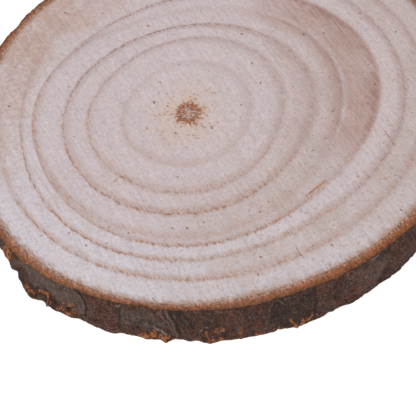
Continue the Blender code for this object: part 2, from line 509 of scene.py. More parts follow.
def makeWood(look):
    thick = stem["thickness"]
    piece = spunSection("sawnWood", 0.0, stem["woodRadius"], thick, look)
    mean, angle, height = polarOf(piece)
    radius = ringPlace(mean, angle)
    turn = np.radians(angle)
    x, y = radius * np.cos(turn), radius * np.sin(turn)
    places = np.stack([x, y, height * 3], 1)
    means = [shape[0] for shape in ringShapes]
    late = np.zeros(len(mean))
    for n, (base, more, way, twice, twiceWay) in enumerate(ringStrength):
        share = np.interp(mean, means, np.arange(len(means)) == n)
        oneSide = more * np.cos(turn - math.radians(way))
        late += share * (base + oneSide + twice * np.cos(2 * (turn - math.radians(twiceWay))))
    # the faces' relief: the saw's waves, and the sunk pith
    saw = math.radians(look["sawWay"])
    sawLine = np.stack([(y * math.cos(saw) - x * math.sin(saw)) / look["sawPitch"], 0.02 * x, height], 1)
    sawn = noiseAt(sawLine, 1.0, 3.1) * look["sawDepth"]
    sunk = look["pithDepth"] * smoothStep(look["pithRadius"], look["pithRadius"] * 0.5, mean)
    sunk = sunk * (0.6 + 0.9 * noiseAt(places, 0.6, 8.0))
    relief = np.minimum(sawn - sunk - look["faceBelow"], -look["leastBelow"])
    onTop = smoothStep(thick * 0.9, thick, height)
    onUnder = smoothStep(thick * 0.1, 0, height)
    putPoints(piece, radius, angle, height + onTop * relief - onUnder * relief)
    bpy.ops.object.shade_smooth_by_angle(angle=math.radians(55))
    # what the finish reads: rings, a darker crescent on the wide side and a paler one inside it
    side = {name: facing(angle, *values) for name, values in look["sides"].items()}
    keepVectors(piece, "growth", np.stack([mean * np.cos(turn), mean * np.sin(turn), height], 1))
    keepValues(piece, "pull", sawPull(mean, angle, look["sawWay"]) * (0.25 + 0.75 * side["dragged"]))
    keepValues(piece, "late", np.maximum(late, 0.05))
    keepValues(piece, "orange", side["orange"])
    keepValues(piece, "thin", side["thin"])
    crescent = smoothStep(*look["crescentOutwards"], mean) * side["crescent"]
    inner = 0.35 * between(mean, *look["innerCrescent"]) * side["innerCrescent"]
    keepValues(piece, "crescent", np.maximum(crescent, inner))
    # slow changes of tone: a beige stain at one side; whiter at another and dusky on the wide side, partly
    # the wood's own tone and partly painted light and shade
    spread = noiseAt(places, 9.0, 2.0)
    stain = hump(angleApart(angle, look["stainAt"]), look["stainHalfWidth"])
    keepValues(piece, "stain", stain * smoothStep(*look["stainOutwards"], mean + 8 * spread))
    keepValues(piece, "white", smoothStep(*look["whiteOutwards"], mean) * side["white"])
    keepValues(piece, "dusk", smoothStep(*look["duskOutwards"], mean) * side["dusk"] * (0.9 + 0.6 * spread))
    # where two rings run together, the wood between them is as dark as they are
    merged = smoothStep(0.75, 0.3, ringGap(mean, angle)) * between(mean, *look["mergedRings"])
    keepValues(piece, "merged", merged)
    return piece


def finishWood(look):
    m = Finish("sawnEndGrain", 0.8)
    colours, way = look["colours"], look["sawWay"]
    thin, orange, wedge = m.value("thin"), m.value("orange"), m.value("crescent")
    growth = m.vector("growth")
    flatGrowth = m.node("ShaderNodeVectorMath", dict(operation="MULTIPLY"), {0: growth, 1: (1, 1, 0)})
    mean = m.node("ShaderNodeVectorMath", dict(operation="LENGTH"), {0: flatGrowth}, "Value")
    stroke = m.strokes(way, width=0.5, length=3.0)
    hair = m.strokes(way, width=0.34, length=1.7)
    streak = m.strokes(way, width=0.6, length=16, detail=3.0)
    cloud = m.patches(7, 3.0, 0.55)
    mottle = m.patches(1.7, 3.0, 0.65, shift=(0.3, 0, 0))
    tint = m.patches(1.1, 3.0, 0.7, shift=(0, 0.3, 0))
    grain = m.patches(0.42, 2.0, 0.7)
    # the saw dragged the rings' fibres along its strokes
    reach, wide = 52.0, look["lineWidth"]  # the ramps' last radius, and how far a line fades
    drag = m.value("pull") * stroke * look["strokeReach"]
    dragged = mean + drag + mottle * 1.2 + cloud * 0.8
    late = m.ramp(dragged / reach, [(place / reach, (dark,) * 3) for place, dark in look["growth"]])
    sides = ((-wide * 1.6, 0), (0, 1), (wide, 0))
    stops = [(place + off, dark * on) for place, dark in look["lines"] for off, on in sides]
    drawn = mean + drag * 0.6 + mottle * 1.2
    line = m.ramp(drawn / reach, [(place / reach, (dark,) * 3) for place, dark in stops])
    brushed = (0.5 + hair * 5.5 + streak * 1.2 + mottle).limit()
    broad = late ** (1.0 + thin * 1.1) * (0.34 + brushed * 0.88)
    fine = line * (0.45 + thin * 0.45) * (0.3 + brushed * 0.6)
    merged = m.value("merged")
    tone = (broad + fine) * m.value("late") * (1.0 - merged) + merged * (0.25 + brushed * 0.35)
    # the crescent: fine parallel lines, sharp at its outer edge
    crescent = wedge * (mean + drag * 0.7).step(37.0, 36.4)
    lines = m.strokes(way, width=0.45, length=9, detail=3.0, roughness=0.65)
    rowPlace = m.node("ShaderNodeCombineXYZ", {}, {"X": mean / 1.3, "Y": (cloud + 0.5) * 3.0})
    rows = m.noise(rowPlace, 1.0, 3.0, 0.7) - 0.5
    compressed = 0.34 + mean.step(34.0, 36.4) * 0.10 + lines * 0.85 + rows * 0.8 + cloud * 0.4
    seam = wedge * (0.4 + brushed * 0.6)
    tone = tone * (1 - crescent * 0.45) + (crescent * compressed).limit()
    tone = tone + seam * mean.between(*look["darkSeam"]) * 0.11
    # pale wood: whiter, beige or dusky by place, mottled all over; its whiter and dusky sides are partly
    # painted light and shade
    body = m.mix(m.value("white") * 0.95, colours["wood"], colours["whiter"])
    dusky = m.value("dusk") * (0.7 + mottle * 1.4 + cloud * 1.6)
    dusky = dusky * (1.0 - mean.between(*look["paleBand"]) * 0.75)
    halo = mean.step(12.0, 3.0) * (0.7 + cloud * 2.0 + tint * 2.5)
    stain = m.value("stain") * (0.85 + cloud * 2.0 + tint * 2.4)
    for share, most, colour in (
        (dusky, 1.0, "dusky"), (cloud * 5.0 - 0.15, 0.4, "beige"), (tint * 6.0, 0.5, "tan"),
        (mottle * 3.0, 0.25, "bleached"), (stain, 1.0, "stain"), (halo, 0.95, "pithHalo"),
    ):
        body = m.mix(share.limit() * most, body, colours[colour])
    # the latewood's lines over it
    shoulder = m.mix(orange, colours["ringSide"], colours["orangeRingSide"])
    core = m.mix(orange, colours["ringCore"], colours["orangeRingCore"])
    body = m.mix((tone * 1.7).limit(), body, shoulder)
    body = m.mix((tone - 0.45).step(0.0, 0.45), body, core)
    body = m.mix(crescent, body, colours["crescent"], "MULTIPLY")
    body = m.mix(seam * mean.between(*look["paleSeam"]) * 0.6, body, colours["seam"])
    body = m.scaled(body, 1.0 + grain * 0.44 + mottle * 0.1 + streak * 0.35 + hair * 0.3)
    # the pith: a ragged brown ring with spikes, round a grey speckled heart
    outwards = m.node("ShaderNodeVectorMath", dict(operation="NORMALIZE"), {0: flatGrowth})
    spikes = m.noise(outwards, 5.0, 2.0, 0.7) - 0.5
    fleck = m.patches(0.75, 2.0, 0.6, shift=(0.1, 0.1, 0))
    ragged = mean + spikes * 4.4 + fleck * 3.6
    body = m.mix(ragged.step(4.2, 2.5) * 0.5, body, colours["pithEdge"])
    heart = m.mix((fleck + grain * 1.4).step(-0.08, 0.10), colours["darkHeart"], colours["greyHeart"])
    body = m.mix(ragged.step(2.2, 1.6), body, heart)
    brown = m.mix((fleck + grain).step(-0.08, 0.16), colours["darkPith"], colours["pith"])
    ring = ragged.between(*look["pithRing"]) * (0.4 + fleck.step(-0.12, 0.02) * 0.6)
    body = m.mix(ring, body, brown)
    freckle = m.cells(m.place(), 0.95).step(0.40, 0.24) * m.patches(1.9, 3.0, 0.7).step(-0.04, 0.04)
    often = (mean.step(11.5, 3.0) * 0.7 + 0.2 + m.value("dusk") * 0.25).limit()
    body = m.mix(freckle * often, body, colours["freckle"])
    # the last millimetre darkens to the bark's tone, with thin dark hairs on it
    edge = stem["woodRadius"]
    rim = (mean + hair * 2.6 + mottle * 2.2).step(edge - 1.1, edge + 0.15)
    body = m.mix(rim * 0.9, body, colours["rim"])
    thread = m.strokes(way, width=0.22, length=1.3, shift=(0.1, 0.2, 0))
    hairs = thread.step(0.02, 0.1) * (mean + stroke * 4.5).step(edge - 1.3, edge - 0.4)
    body = m.mix(hairs * 0.42, body, colours["hairs"])
    height = stroke * 0.35 + hair * 0.35 + grain * 0.5 + streak * 0.3
    return m.show(Base_Color=body, Roughness=0.74 + mottle * 0.2, Normal=m.bump(height, 0.1))


wood = makeWood(sawnWood)
wood.data.materials.append(finishWood(sawnWood))
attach(wood, "root")
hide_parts("wood_disc")
print("sawn wood made:", len(wood.data.polygons), "faces")

# resin specks and torn fibres on the sawn face
faceMarks = dict(
    level=9.975, levelStep=0.0003, levels=40,  # specks lie at a few heights, so that none shares one
    lineAbove=0.013, sides=10, seed=5,
    # specks: x and y from the pith, radius
    specks=(
        (-9.3, 27.0, 0.3), (-38.2, 2.1, 0.28), (-2.6, -5.8, 0.32), (-7.4, 3.2, 0.3), (-8.7, -4.4, 0.26),
        (-6.2, 9.3, 0.2), (11.7, 24.4, 0.25), (25.5, 24.4, 0.28), (30.0, 24.7, 0.28), (13.8, 15.1, 0.26),
        (15.4, 9.0, 0.28), (40.2, 8.7, 0.32), (30.7, 0.6, 0.2), (11.2, 2.4, 0.26), (25.9, -10.6, 0.24),
        (28.6, -7.2, 0.22), (46.1, 25.0, 0.3), (38.5, 31.3, 0.28), (34.7, -17.8, 0.28),
        (-19.8, -35.8, 0.3), (-15.5, -31.2, 0.24), (-11.6, -32.7, 0.26), (-23.3, -32.7, 0.22),
        (-3.0, -31.5, 0.28), (0.0, -31.5, 0.24), (3.3, -29.9, 0.22), (14.5, -27.3, 0.24),
        (28.4, -35.8, 0.3), (24.7, -36.0, 0.2), (42.7, -26.8, 0.24), (14.4, -38.7, 0.26),
        (13.8, -43.1, 0.24), (-4.4, 2.1, 0.22), (1.1, 5.6, 0.22), (5.0, -4.4, 0.3), (4.8, -3.8, 0.2),
        (1.6, 4.1, 0.18), (6.2, -2.6, 0.2), (28.2, -1.5, 0.2), (-28.2, 31.3, 0.3), (-27.4, 31.0, 0.24),
        (-6.4, 5.9, 0.18), (28.0, 24.0, 0.2), (-15.7, -35.3, 0.2),
    ),
    moreSpecks=70, farthest=50, fromEdge=4,
    # torn lines: from, to, half width, how orange, how faint
    lines=(
        (24.4, -22.6, 28.4, -18.7, 0.3, 1.0, 0.1), (23.6, -23.4, 25.6, -21.4, 0.2, 0.9, 0.3),
        (-15.3, -19.9, -14.1, -17.9, 0.26, 1.0, 0.6), (-14.2, -17.8, -12.4, -18.3, 0.26, 0.9, 0.55),
        (-13.0, -17.2, -11.0, -20.4, 0.3, 0.7, 0.75),
        (21.2, -36.0, 22.6, -38.9, 0.1, 0.1, 0.7), (20.8, -35.3, 22.8, -39.2, 0.08, 0.0, 0.6),
        (19.6, -31.7, 20.5, -33.9, 0.09, 0.1, 0.7), (20.1, -31.4, 21.1, -33.6, 0.07, 0.2, 0.7),
        (40.9, -4.6, 42.4, -7.9, 0.14, 0.4, 0.55), (41.9, -6.9, 43.2, -9.6, 0.12, 0.4, 0.6),
    ),
    # from dark resin to orange fibre: tone, colour
    tones=(
        (0.0, (0.24, 0.085, 0.05)), (0.5, (0.38, 0.185, 0.115)), (0.75, (0.42, 0.24, 0.17)),
        (1.0, (0.52, 0.27, 0.15)),
    ),
)


def flatMark(x, y, long, wide, turn, level, chance):
    # one small flat patch with an uneven outline, which fades towards it
    deselectAll()
    bpy.ops.mesh.primitive_circle_add(
        vertices=faceMarks["sides"], radius=1, fill_type="TRIFAN", location=(0, 0, 0),
    )
    mark = bpy.context.object
    keepValues(mark, "cover", [float(point.co.length < 0.5) for point in mark.data.vertices])
    for point in mark.data.vertices:
        reach = chance.uniform(1.0, 1.7)
        along, across = point.co.x * long * reach, point.co.y * wide * reach
        point.co.x = pithX + (x + along * math.cos(turn) - across * math.sin(turn)) * mm
        point.co.y = pithY + (y + along * math.sin(turn) + across * math.cos(turn)) * mm
        point.co.z = level * mm
    return mark


def joined(pieces, name):
    deselectAll()
    for piece in pieces:
        piece.select_set(True)
    bpy.context.view_layer.objects.active = pieces[0]
    bpy.ops.object.join()
    pieces[0].name = name
    return pieces[0]


def makeFaceMarks(look):
    chance = random.Random(look["seed"])
    draw = chance.uniform
    marks, tones = [], []
    points = look["sides"] + 1
    specks = list(look["specks"])
    while len(specks) < len(look["specks"]) + look["moreSpecks"]:
        far, way = look["farthest"] * math.sqrt(chance.random()), draw(0, 360)
        if far < float(woodEdge(way)) - look["fromEdge"]:
            turn = math.radians(way)
            specks.append((far * math.cos(turn), far * math.sin(turn), draw(0.1, 0.2)))
    for n, (x, y, radius) in enumerate(specks):
        level = look["level"] + look["levelStep"] * (n % look["levels"])
        turn = math.radians(sawnWood["sawWay"] + draw(-40, 40))
        marks.append(flatMark(x, y, radius * draw(1.0, 1.5), radius, turn, level, chance))
        tones += [draw(0.2, 0.6) if n < len(look["specks"]) else draw(0.4, 0.9)] * points
    faints = [0.35] * len(tones)
    level = look["level"] + look["lineAbove"]
    for x1, y1, x2, y2, wide, orange, faint in look["lines"]:
        long, turn = math.hypot(x2 - x1, y2 - y1) / 2, math.atan2(y2 - y1, x2 - x1)
        marks.append(flatMark((x1 + x2) / 2, (y1 + y2) / 2, long, wide, turn, level, chance))
        tones += [0.5 + orange * 0.5] * points
        faints += [faint] * points
    piece = joined(marks, "resinSpecks")
    keepValues(piece, "tone", tones)
    keepValues(piece, "faint", faints)
    return piece


def finishFaceMarks(look):
    m = Finish("resinBrown", 0.6)
    tone = m.value("tone")
    grain = m.patches(0.5, 2.0, 0.6)
    body = m.scaled(m.ramp(tone, look["tones"]), 1.0 + grain * 0.4)
    cover = (m.value("cover") + grain * 1.6).step(0.12, 0.75) * (0.95 - tone * m.value("faint"))
    return m.show(Base_Color=body, Alpha=cover, Roughness=0.65 + grain * 0.2, Normal=m.bump(grain, 0.03))


faceSpecks = makeFaceMarks(faceMarks)
faceSpecks.data.materials.append(finishFaceMarks(faceMarks))
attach(faceSpecks, "root")
print("specks made")

# the bark
bark = dict(
    columns=360, finer=4,
    cuts=dict(top=1, under=0, outside=10, inside=0),
    # the solid's own relief
    plateWidth=13.0, plateHeight=20.0, crackDepth=0.65, crackShare=0.13,
    lumpSize=5.5, lumpHeight=0.4, patternShift=(3.7, 1.9, 5.3),
    tornHeight=2.4, tornFlare=0.5, tornSize=4.2,
    # knobs: angle, height, radius, how far they stand out
    knobs=(
        (216.0, 2.6, 2.4, 0.7), (227.5, 2.2, 2.2, 0.6), (233.0, 1.4, 2.0, 0.7), (239.0, 1.8, 1.6, 0.5),
        (253.5, 1.2, 2.4, 0.6), (274.5, 1.0, 2.0, 0.6), (296.0, 1.2, 2.2, 0.5), (321.0, 6.4, 3.2, 0.4),
        (352.0, 2.0, 2.8, 0.6), (28.0, 5.0, 3.4, 0.5), (71.0, 1.6, 2.6, 0.7), (118.0, 4.4, 3.0, 0.5),
        (163.0, 1.8, 2.8, 0.7), (192.0, 5.6, 3.0, 0.5),
    ),
    # ridges: angle at mid-height, slant, half width, how far they stand out
    ridges=(
        (264.5, 3.0, 1.0, 0.75), (269.0, 4.0, 0.8, 0.55), (303.5, -1.0, 0.9, 0.5), (12.0, 2.5, 1.1, 0.6),
        (95.0, -3.0, 1.0, 0.7), (141.0, 2.0, 0.9, 0.6), (181.0, -2.0, 1.0, 0.6),
    ),
    # finer than the solid
    crownFollows=0.4,  # share of the relief that the sawn edge follows
    # pieces broken off along the foot: angle, half width, height, depth
    breaks=((214.2, 1.9, 6.5, 0.8), (218.0, 2.6, 8.5, 0.7), (223.9, 1.7, 6.8, 1.5), (226.4, 1.2, 4.2, 0.7)),
    # slow changes of the foot: angle, half width in degrees, how far out
    footTrims=(
        (220.3, 1.0, -0.3), (222.2, 4.2, -1.3), (222.4, 0.7, 0.2), (231.0, 4.5, -0.8), (237.0, 3.0, -0.4),
        (242.5, 3.0, 0.6), (246.0, 2.0, 0.3), (253.5, 2.4, -0.3), (257.0, 3.5, 0.5), (262.0, 2.0, 0.3),
        (278.0, 2.4, -0.3), (286.0, 2.4, 0.3), (298.0, 2.4, -0.4), (314.0, 2.4, 0.35), (318.0, 4.0, -0.7),
        (323.0, 3.5, -0.4),
    ),
    trimHeight=6.0,    # a change of the foot ends at this height
    least=0.2,         # the bark is nowhere thinner than this
    flakeWidth=2.6, flakeStep=0.16, flakeGap=0.12, fibreDepth=0.08, roughDepth=0.08,
    crownHeight=1.5, crownChip=0.15, chipHeight=1.0, footHeight=1.4, footChip=0.12,
    endsBelow=0.07, leastBelow=0.01, endsRough=0.05, endsWorn=0.22,  # the sawn ends of the bark
    warmAt=314.0, warmHalfWidth=18.0, rustyRimAt=240.0,
    # marks seen on the bark: kind, half width, strength, how far out, and points of (angle, height)
    marks=(
        ("grey", 2.3, 1.0, 0.12, (232.5, 9.6), (237.5, 7.6), (242.0, 7.6), (246.0, 5.3)),
        ("dark", 0.32, 1.0, -0.4, (245.2, 9.6), (247.7, 7.3), (248.2, 5.6), (247.3, 2.8)),
        ("pale", 0.13, 0.5, 0.15, (244.9, 9.1), (247.1, 7.2), (247.6, 5.6), (246.8, 3.4)),
        (
            "rust", 0.36, 1.0, 0.6, (244.5, 5.0), (243.1, 5.1), (242.5, 3.3), (243.2, 1.7), (244.6, 2.2),
            (245.2, 3.7),
        ),
        ("dark", 0.55, 1.0, -0.5, (243.8, 3.5)),
        ("rust", 0.34, 1.0, 0.5, (231.2, 2.4), (232.3, 3.1), (233.2, 2.0)),
        ("rust", 0.32, 1.0, 0.5, (232.6, 3.8), (234.2, 3.3), (234.8, 1.9)),
        ("rust", 0.5, 0.9, 0.4, (230.6, 1.0), (232.6, 0.7), (235.0, 1.2)),
        ("rust", 0.34, 1.0, 0.5, (236.2, 4.9), (238.2, 4.6), (238.9, 3.0), (237.9, 1.2)),
        ("olive", 1.1, 0.8, 0.5, (236.6, 3.2)),
        # painted shadow beside the knob, drawn as a dark mark
        ("dark", 0.5, 0.9, -0.4, (239.4, 3.6), (240.2, 2.6)),
        ("dark", 0.5, 0.9, -0.3, (234.9, 4.6), (236.0, 5.3)),
        ("rust", 1.2, 1.0, 0.6, (225.4, 8.4)),
        ("dark", 1.6, 0.8, 0.0, (222.0, 9.6), (224.0, 8.0)),
        ("dark", 0.26, 1.0, -0.3, (228.4, 9.9), (230.0, 9.7)),
        ("red", 0.9, 0.8, 0.0, (227.4, 7.2), (229.6, 5.6)),
        ("rust", 0.4, 0.7, 0.1, (240.4, 1.2), (241.4, 2.6)),
        ("red", 2.6, 0.9, 0.0, (250.4, 6.8), (252.4, 3.4)),
        ("dark", 0.7, 0.6, 0.0, (252.6, 5.4)),
        ("pale", 0.22, 0.8, 0.1, (255.2, 9.2), (255.8, 9.3)),
        ("grey", 2.3, 0.7, 0.05, (257.6, 6.2), (263.2, 6.4)),
        ("dark", 0.3, 0.7, -0.25, (255.8, 8.6), (255.6, 3.0)),
        ("dark", 0.8, 0.7, -0.1, (258.4, 5.2), (260.0, 4.8)),
        ("dark", 0.8, 0.6, -0.1, (263.0, 5.4), (264.4, 4.6)),
        ("pale", 0.2, 0.55, 0.35, (265.6, 9.4), (267.2, 6.5), (267.5, 3.7), (267.9, 1.4)),
        ("pale", 0.18, 0.4, 0.3, (264.3, 9.3), (266.3, 6.4), (266.8, 3.6), (267.2, 1.8)),
        ("dark", 0.32, 1.0, -0.4, (266.4, 9.4), (268.0, 6.6), (268.5, 3.4)),
        ("dark", 0.42, 1.0, -0.45, (268.2, 9.3), (269.8, 7.0), (271.4, 4.9)),
        ("pale", 0.12, 0.4, 0.2, (268.9, 8.2), (270.6, 5.6)),
        ("pale", 0.26, 0.9, 0.2, (263.4, 4.2), (264.8, 3.9), (265.7, 2.8)),
        ("pale", 0.42, 0.8, 0.15, (267.8, 2.2)),
        ("rust", 0.95, 1.0, 0.45, (260.8, 1.2), (262.4, 1.9)),
        ("rust", 1.0, 1.0, 0.45, (263.7, 2.1), (265.0, 1.4)),
        ("dark", 0.34, 1.0, -0.3, (263.4, 2.2)),
        ("pale", 0.24, 1.0, 0.1, (273.1, 4.1)), ("pale", 0.24, 1.0, 0.1, (274.4, 4.5)),
        ("rust", 0.28, 1.0, 0.3, (274.2, 3.4), (274.9, 0.4)),
        ("rust", 0.36, 0.9, 0.35, (274.9, 1.8), (278.0, 1.2)),
        ("rust", 0.5, 0.8, 0.2, (276.5, 3.3), (277.4, 3.5)),
        ("rust", 0.24, 1.0, 0.35, (281.5, 3.9), (281.6, 0.4)),
        ("red", 0.6, 0.9, 0.0, (285.3, 9.4), (285.6, 1.0)),
        ("red", 0.5, 0.6, 0.0, (278.9, 9.3), (278.9, 2.6)),
        ("red", 1.6, 0.4, 0.0, (273.0, 2.4), (276.0, 2.6)),
        ("dark", 0.4, 1.0, -0.2, (288.0, 4.0), (288.7, 8.2), (290.6, 9.2), (292.6, 7.2)),
        ("dark", 2.2, 0.8, -0.1, (291.0, 6.2), (295.0, 7.0)),
        ("dark", 1.5, 0.8, -0.1, (291.5, 2.6), (293.0, 3.0)),
        ("rust", 0.26, 1.0, 0.3, (292.4, 3.5), (293.1, 1.8), (293.8, 0.2)),
        ("rust", 0.26, 1.0, 0.3, (293.8, 0.3), (295.8, 1.6), (297.6, 2.2)),
        ("rust", 0.22, 0.9, 0.25, (294.6, 0.8), (295.6, 2.6)),
        ("dark", 0.3, 1.0, -0.3, (298.1, 9.5), (298.1, 3.4)),
        ("dark", 0.26, 0.9, -0.2, (301.8, 3.3), (302.1, 0.3)),
        ("red", 2.2, 0.9, 0.0, (305.0, 4.0), (308.2, 4.6)),
        ("pale", 0.4, 0.5, 0.1, (306.1, 9.3)), ("pale", 0.34, 0.4, 0.1, (306.5, 8.0)),
        ("grey", 2.2, 0.6, 0.0, (309.5, 7.4), (315.0, 6.0)),
        ("pale", 0.24, 0.8, 0.15, (312.6, 9.5), (314.4, 9.6)),
        ("dark", 1.2, 0.8, -0.1, (315.9, 8.8), (317.4, 8.6)),
        ("olive", 1.6, 0.25, 0.0, (300.2, 6.5), (300.8, 3.2)),
        ("pale", 0.14, 0.5, 0.1, (287.2, 7.6), (288.4, 8.9), (290.2, 8.6), (291.0, 7.6)),
        ("red", 2.4, 0.5, 0.0, (319.0, 5.0), (323.0, 5.0)),
    ),
    # the same kinds of marks, strewn where the stem isn't seen from the front
    strewnFrom=326.0, strewnTo=574.0, strewnSeed=11,
    strewn=dict(grey=8, dark=26, pale=12, rust=30, red=12, olive=5),
    # their least and greatest: height, how far on or up they reach, half width, strength, how far out
    blots=dict(height=(3, 8), length=(2, 6), halfWidth=(1.2, 2.3), strength=(0.6, 1), out=0.08),
    tears=dict(height=(0.2, 1.6), up=(0.4, 2.8), halfWidth=(0.25, 0.6), out=(0.2, 0.5)),
    seams=dict(height=(6, 9.5), down=(2, 6), thin=(0.22, 0.42), wide=(0.7, 1.5), strength=(0.6, 1)),
    colours=dict(
        brown=(0.060, 0.0287, 0.0213), redBrown=(0.082, 0.0352, 0.0232), ruddy=(0.115, 0.045, 0.028),
        greyBrown=(0.072, 0.049, 0.042), red=(0.11, 0.038, 0.025), grey=(0.102, 0.068, 0.055),
        olive=(0.12, 0.078, 0.042), dark=(0.036, 0.027, 0.021), dust=(0.092, 0.068, 0.062),
        # of the next line's colours, the one for the sunk relief is a painted shade
        crack=(0.02, 0.013, 0.011), cleft=(0.025, 0.015, 0.012), fleck=(0.2, 0.185, 0.185),
        darkRust=(0.075, 0.024, 0.012), rust=(0.33, 0.125, 0.05), pale=(0.22, 0.18, 0.155),
        warm=(0.98, 0.86, 0.7), pit=(0.17, 0.058, 0.03), paleFibre=(0.5, 0.39, 0.34),
        hairs=(0.16, 0.1, 0.08),
    ),
    # the sawn band from the wood outwards: share of its width, colour
    band=(
        (0.0, (0.41, 0.27, 0.21)), (0.2, (0.345, 0.185, 0.132)), (0.44, (0.295, 0.128, 0.078)),
        (0.66, (0.25, 0.097, 0.05)), (0.86, (0.195, 0.08, 0.036)), (1.0, (0.11, 0.058, 0.034)),
    ),
)


def solidRelief(look, angle, height, edge):
    # how far the solid's bark stands off its plain wall
    thick = stem["thickness"]
    places = onStem(angle, height)
    shift = np.array(look["patternShift"])
    cellSize = np.array([look["plateWidth"], look["plateWidth"], look["plateHeight"]])
    near, second, _ = cellsAt(places, cellSize, shift)
    belly = stem["belly"] * (1 - (2 * height / thick - 1) ** 2)
    relief = belly - look["crackDepth"] * hump(second - near, look["crackShare"])
    relief += look["lumpHeight"] * noiseAt(places, look["lumpSize"], shift)
    torn = look["tornFlare"] * taper(height, look["tornHeight"])
    relief += torn * noiseAt(onStem(angle, 0 * height), look["tornSize"], shift)
    for knobAngle, knobHeight, radius, proud in look["knobs"]:
        along = alongEdge(angle, knobAngle, edge)
        relief += proud * hump(np.hypot(along, height - knobHeight), radius)
    for ridgeAngle, slant, halfWidth, proud in look["ridges"]:
        centre = ridgeAngle + slant * (0.5 - height / thick)
        relief += proud * hump(alongEdge(angle, centre, edge), halfWidth)
    return relief


def strewnMarks(look):
    # marks of each kind, made up from seeded chance: grey and red blots, rusty tears, and seams
    chance = random.Random(look["strewnSeed"])
    draw = chance.uniform
    marks = []
    for kind, count in look["strewn"].items():
        for _ in range(count):
            angle = draw(look["strewnFrom"], look["strewnTo"])
            if kind in ("grey", "red"):
                sizes = look["blots"]
                height, length = draw(*sizes["height"]), draw(*sizes["length"])
                halfWidth, strength, out = draw(*sizes["halfWidth"]), draw(*sizes["strength"]), sizes["out"]
                path = ((angle, height), (angle + length, height + draw(-1.5, 1.5)))
            elif kind == "rust":
                sizes = look["tears"]
                height, up = draw(*sizes["height"]), draw(*sizes["up"])
                halfWidth, strength, out = draw(*sizes["halfWidth"]), 1.0, draw(*sizes["out"])
                bend = (angle + draw(0.4, 1.6), height + up * 0.7)
                path = ((angle, height), bend, (angle + draw(0.4, 2.4), height + up))
            else:
                sizes = look["seams"]
                height, down = draw(*sizes["height"]), draw(*sizes["down"])
                thin = chance.random() < 0.6
                halfWidth = draw(*sizes["thin"]) if thin else draw(*sizes["wide"])
                proud = -0.3 if kind == "dark" else 0.25
                strength, out = draw(*sizes["strength"]), proud if thin else 0.0
                bend = (angle + draw(-1, 1.5), height - down / 2)
                path = ((angle, height), bend, (angle + draw(-1, 2.5), height - down))
            marks.append((kind, halfWidth, strength, out, *path))
    return marks


def pathDistance(path, wander, angle, height, edge):
    # distance in mm from a line of (angle, height) points drawn on the bark
    nearest = np.full(len(angle), np.inf)
    for (a1, h1), (a2, h2) in zip(path, path[1:] or path):
        x, y = alongEdge(angle, a1, edge) + wander[0], height - h1 + wander[1]
        dx, dy = alongEdge(a2, a1, edge), h2 - h1
        share = np.clip((x * dx + y * dy) / (dx * dx + dy * dy + tiny), 0, 1)
        nearest = np.minimum(nearest, np.hypot(x - share * dx, y - share * dy))
    return nearest


def markMasks(look, angle, height, edge):
    places = onStem(angle, height)
    slow = [noiseAt(places, 1.8, 3.0), noiseAt(places, 1.8, 12.0)]
    quick = [noiseAt(places, 0.7, 23.0), noiseAt(places, 0.7, 32.0)]
    masks = {kind: np.zeros(len(angle)) for kind in look["strewn"]}
    proud = np.zeros(len(angle))
    for kind, halfWidth, strength, out, *path in list(look["marks"]) + strewnMarks(look):
        far, near = 0.9 * min(halfWidth, 1.5), 0.25 * min(halfWidth, 1.0)
        wander = [far * a + near * b for a, b in zip(slow, quick)]
        distance = pathDistance(path, wander, angle, height, edge)
        full = halfWidth * (0.45 if halfWidth < 1 else 0.75)
        masks[kind] = np.maximum(masks[kind], strength * smoothStep(halfWidth * 1.35, full, distance))
        proud += out * hump(distance, halfWidth * 0.9)
    return masks, proud


